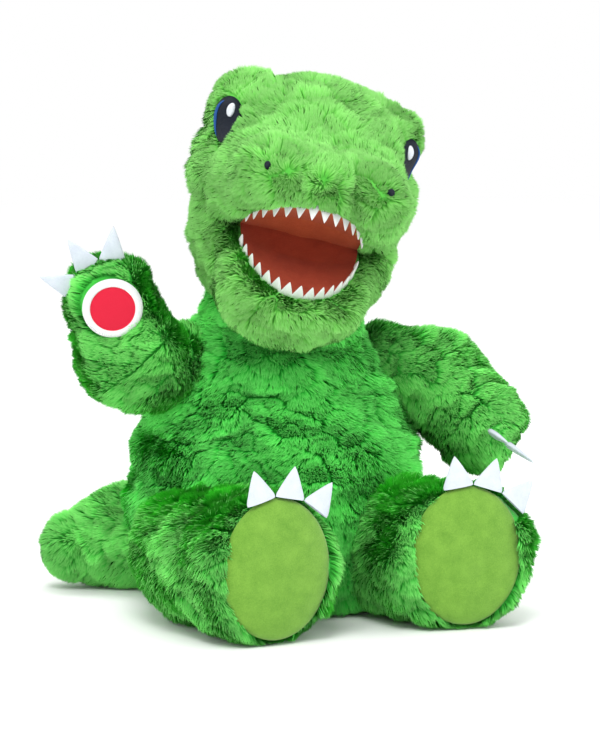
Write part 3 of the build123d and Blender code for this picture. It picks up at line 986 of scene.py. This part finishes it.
def felt_points(name, feet, ways, outs, sizes, body, material, slot, node):
    """Row of soft felt points: each foot has a direction, a facing and a (width, length, thick)."""
    rings, spokes = 12, 20
    rise = np.linspace(-0.12, 1.0, rings)
    angle = np.linspace(0, 2 * pi, spokes, endpoint=False)
    quads = grid_quads(rings, spokes, True)[:, (0, 3, 2, 1)]
    all_points, all_quads = [], []
    for foot, way, out, (width, tall, thick) in zip(feet, ways, outs, sizes):
        aside = unit(np.cross(way, out))
        out = np.cross(aside, way)
        taper = np.clip(1 - np.clip(rise, 0, 1), 0, 1) ** 0.86 + 0.02
        wide = (width / 2 * taper)[:, None] * np.cos(angle)
        deep = (thick / 2 * taper**0.6)[:, None] * np.sin(angle)
        up = np.repeat(rise * tall, spokes)
        points = foot + wide.ravel()[:, None] * aside + deep.ravel()[:, None] * out + up[:, None] * way
        all_quads.append(quads + rings * spokes * len(all_points))
        all_points.append(points)
    piece = make_mesh(name, np.concatenate(all_points), np.concatenate(all_quads))
    return dress(piece, body, material, [node])


def teeth_piece(name, pitch, count, body, node, material):
    """Felt teeth along the lip, standing into the mouth."""
    forward, above = pitched(pitch)
    into = -above if pitch > 0 else above
    feet, ways, outs, sizes = [], [], [], []
    for step in range(count):
        angle = radians(18 + 144 * step / (count - 1))
        tall = (5.0 + 7.5 * sin(angle)) / 1000
        x = LIP_HALF_WIDTH * cos(angle) / 1000
        foot = mm(FOLD) + np.array((x, 0, 0)) + LIP_LENGTH * sin(angle) / 1000 * forward
        aside = cos(angle) / LIP_HALF_WIDTH * np.array((1.0, 0, 0))
        outward = unit(aside + sin(angle) / LIP_LENGTH * forward)
        way = unit(into + 0.12 * outward)
        feet.append(from_head(foot - 0.001 * into))
        ways.append(way @ HEAD_AXES.T)
        outs.append(outward @ HEAD_AXES.T)
        sizes.append((0.0096, tall, 0.0030))
    return felt_points(name, feet, ways, outs, sizes, body, material, "tooth_felt", node)


def claw_plane(kind, side):
    """Middle, upward and outward directions of a set of claws."""
    if kind == "foot":
        return mm(LEGS[side]["line"][1]), np.array((0, 0, 1.0)), foot_normal(side)
    if side == "left":
        up = unit(np.array(LEFT_CLAW_POINT))
        return mm(ARMS[side][2]), up, unit(np.array(LEFT_CLAW_NORMAL))
    out = unit(np.array(PALM_NORMAL))
    return mm(ARMS[side][2]), unit(np.array((0, 0, 1.0)) - out * out[2]), out


def claw_ways(kind, side):
    """Direction of each claw of a set."""
    middle, up, out = claw_plane(kind, side)
    aside = np.cross(up, out)
    twist = FOOT_TWIST[side] if kind == "foot" else PAW_TWIST[side]
    turns = [radians(twist + CLAW_STEP[kind] * step) for step in (-1, 0, 1)]
    return [up * cos(turn) + aside * sin(turn) for turn in turns]


def claws_piece(kind, side, material):
    """The three felt claws of a foot or a paw."""
    middle, up, out = claw_plane(kind, side)
    ways = claw_ways(kind, side)
    start, tall, width = (52, 20, 22) if kind == "foot" else (30, 23, 18)
    offset = 0.003 if kind == "foot" else 0.0
    feet = [middle + way * start / 1000 + out * offset for way in ways]
    sizes = [(width / 1000, tall / 1000, 0.0052)] * 3
    body = f"leg_{side}" if kind == "foot" else f"arm_{side}"
    node = f"foot_{side}_claws" if kind == "foot" else f"arm_{side}_claws"
    args = (ways, [out] * 3, sizes, body, material, "claw_felt", node)
    return felt_points(f"{kind}_{side}_claw_felt", feet, *args)


def add_trim():
    """Everything that is sewn on to the fur."""
    felt = cloth_paint("tooth_felt", (0.62, 0.64, 0.62), (0.80, 0.82, 0.80), 1500, 0.4, 0.1, 0.0003)
    claw = cloth_paint("claw_felt", (0.50, 0.55, 0.62), (0.68, 0.73, 0.80), 1500, 0.4, 0.1, 0.0003)
    sole = cloth_paint("sole_pile", (0.10, 0.26, 0.025), (0.21, 0.42, 0.055), 1100, 0.6, 0.25)
    palate = cloth_paint("palate_pile", (0.30, 0.050, 0.016), (0.48, 0.095, 0.034), 1100, 0.5, 0.05)
    tongue = cloth_paint("tongue_pile", (0.22, 0.028, 0.012), (0.37, 0.056, 0.024), 1100, 0.5, 0.05)
    eye = thread_paint("eye_thread", (0.004, 0.006, 0.012), (0.012, 0.018, 0.032), "Z")
    iris = thread_paint("iris_thread", (0.008, 0.05, 0.2), (0.02, 0.12, 0.42), "Z")
    glint = thread_paint("glint_thread", (0.6, 0.65, 0.72), (0.9, 0.93, 0.97), "Z")
    border = thread_paint("border_thread", (0.6, 0.62, 0.64), (0.95, 0.95, 0.95), "DIAGONAL")
    red = thread_paint("badge_thread", (0.55, 0.008, 0.03), (0.85, 0.02, 0.06), "X", 700.0)
    for side in ("left", "right"):
        sole_piece(side, sole)
        claws_piece("foot", side, claw)
        claws_piece("paw", side, claw)
        eye_pieces(side, 1 if side == "left" else -1, eye, iris, glint)
    teeth_piece("upper_teeth_felt", PALATE_PITCH, 14, "head", "upper_teeth", felt)
    teeth_piece("lower_teeth_felt", TONGUE_PITCH, 15, "jaw", "lower_teeth", felt)
    badge_piece(border, red)
    for kind, body, cloth in (("palate", "head", palate), ("tongue", "jaw", tongue)):
        name = f"{kind}_cloth"
        lining_piece(name, *MOUTH_OF[body], body, f"{kind}_lining", cloth, name)


# Camera and light -------------------------------------------------------------------------

CAMERA_AT = (-0.8104, -2.0543, 0.4025)
CAMERA_AIM = (0.0093, -0.0257, 0.1726)
LENS = 144.5


def aim(thing, place, target):
    thing.location = place
    thing.rotation_euler = (Vector(target) - Vector(place)).to_track_quat("-Z", "Y").to_euler()


def add_light(name, place, size, power, target=(0, 0, 0.15)):
    light = bpy.data.lights.new(name, "AREA")
    light.size = size
    light.energy = power
    lamp = bpy.data.objects.new(name, light)
    bpy.context.scene.collection.objects.link(lamp)
    aim(lamp, place, target)


def add_stage():
    scene = bpy.context.scene
    camera = bpy.data.objects.new("camera", bpy.data.cameras.new("camera"))
    scene.collection.objects.link(camera)
    aim(camera, CAMERA_AT, CAMERA_AIM)
    camera.data.lens = LENS
    scene.camera = camera
    half = 6.0
    corners = np.array(((-half, -half, 0), (half, -half, 0), (half, half, 0), (-half, half, 0)), float)
    floor = make_mesh("floor", corners - (0, 0, 0.0005), np.array(((0, 1, 2, 3),)), smooth=False)
    paper = Paint("floor_paint", (0.985, 0.985, 0.985), roughness=0.8, specular=0.0)
    floor.data.materials.append(paper.material)
    world = bpy.data.worlds.new("studio")
    world.use_nodes = True
    world.node_tree.nodes["Background"].inputs["Color"].default_value = (1, 1, 1, 1)
    world.node_tree.nodes["Background"].inputs["Strength"].default_value = 1.0
    scene.world = world
    scene.view_settings.view_transform = "Standard"
    add_light("key", (-0.9, -1.6, 2.3), 1.2, 40)
    add_light("fill", (1.8, -1.2, 1.2), 1.6, 8)
    add_light("top", (0.2, 0.6, 2.4), 1.6, 16)


for body_name in FIELDS:
    grow_body(body_name)
add_trim()
add_stage()
